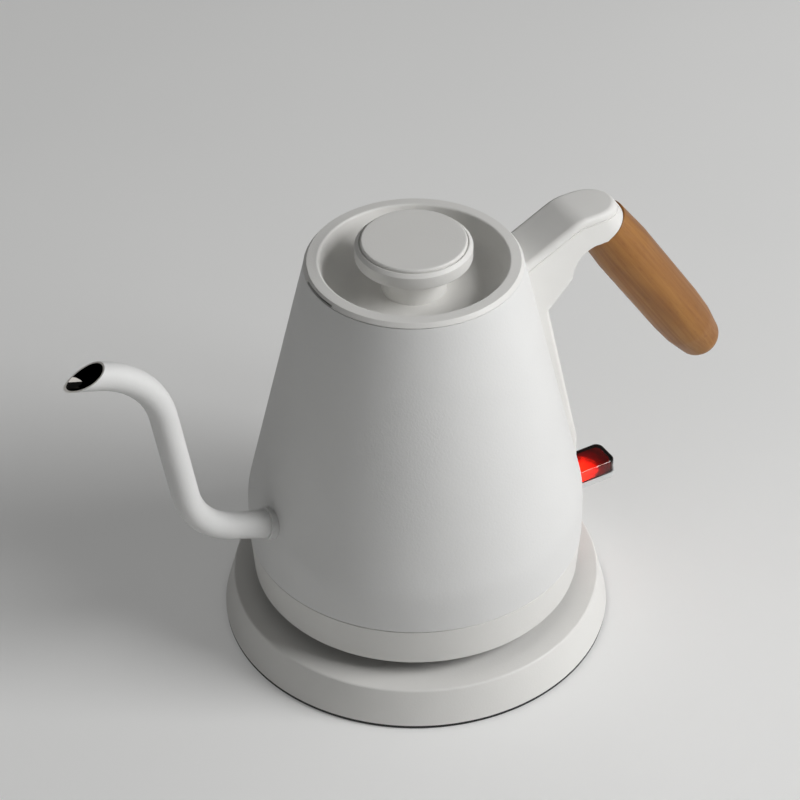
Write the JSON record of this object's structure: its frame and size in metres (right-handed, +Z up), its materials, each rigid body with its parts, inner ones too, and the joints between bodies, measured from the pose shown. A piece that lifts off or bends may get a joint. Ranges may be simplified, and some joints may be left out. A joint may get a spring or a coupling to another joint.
{
  "type": "electric gooseneck kettle",
  "caption": "White electric gooseneck kettle with a conical body, dished lid with a mushroom knob, slanting wooden grip and red switch lever, on a round power base.",
  "frame": {"origin": "on the kettle's axis, in the plane the feet stand on", "axes": "+Z up, +X towards the handle, -X towards the spout"},
  "size_m": [0.2963, 0.16, 0.1821],
  "materials": {
    "white_plastic": "fine matte moulding",
    "white_painted_steel": "matte powder coat over steel",
    "black_plastic": "satin moulding",
    "grey_plastic": "satin moulding",
    "rubber": "moulded rubber",
    "silicone": "moulded silicone",
    "steel": "bare steel",
    "aluminium": "cast and drawn",
    "brass": "stamped",
    "wood": "oiled, fine grain",
    "red_lens": "clear red moulding",
    "lamp_glass": "glow lamp"
  },
  "bodies": {
    "base": {"base_top_shell": "white_plastic", "base_bottom_plate": "black_plastic", "base_foot_1": "rubber", "base_foot_2": "rubber", "base_foot_3": "rubber", "base_foot_4": "rubber", "base_screws": "steel", "base_connector": "black_plastic", "base_contact_ring_1": "brass", "base_contact_ring_2": "brass", "base_contact_sleeve": "brass", "cord_gland": "rubber"},
    "shutter": {"connector_shutter": "black_plastic"},
    "kettle": {"lower_band": "white_plastic", "spine_cover": "white_plastic", "handle_arm": "white_plastic", "handle_top_cover": "white_plastic", "body_shell": "white_painted_steel", "spout_tube": "white_painted_steel", "spout_collar": "white_painted_steel", "control_unit": "black_plastic", "bottom_cover": "black_plastic", "switch_frame": "black_plastic", "vessel_floor": "steel", "handle_bracket": "steel", "handle_screws": "steel", "grip_rod": "steel", "grip_nut": "steel", "bottom_screws": "steel", "switch_pin": "steel", "bimetal_disc": "steel", "heat_spreader": "aluminium", "heating_element": "aluminium", "control_pin": "brass", "control_contact_1": "brass", "control_contact_2": "brass", "wooden_grip": "wood"},
    "lid": {"lid_dish": "white_plastic", "lid_seal": "silicone", "lid_inner_cover": "steel", "lid_knob": "white_plastic", "lid_knob_cap": "white_plastic", "lid_screw": "steel"},
    "switch": {"switch_carrier": "grey_plastic", "switch_lens": "red_lens", "indicator_lamp": "lamp_glass"}
  },
  "joints": [
    {"name": "kettle_swivel", "type": "hinge", "parent": "base", "child": "shutter", "pos_m": [0, 0, 0.0234], "axis": [0, 0, 1], "continuous": true},
    {"name": "kettle_lift", "type": "slide", "parent": "shutter", "child": "kettle", "axis": [0, 0, 1], "range_m": [0, 0.06]},
    {"name": "lid_lift", "type": "slide", "parent": "kettle", "child": "lid", "axis": [0, 0, 1], "range_m": [0, 0.05]},
    {"name": "switch_rock", "type": "hinge", "parent": "kettle", "child": "switch", "pos_m": [0.06, 0, 0.034], "axis": [0, -1, 0], "range_deg": [0, 8]}
  ]
}
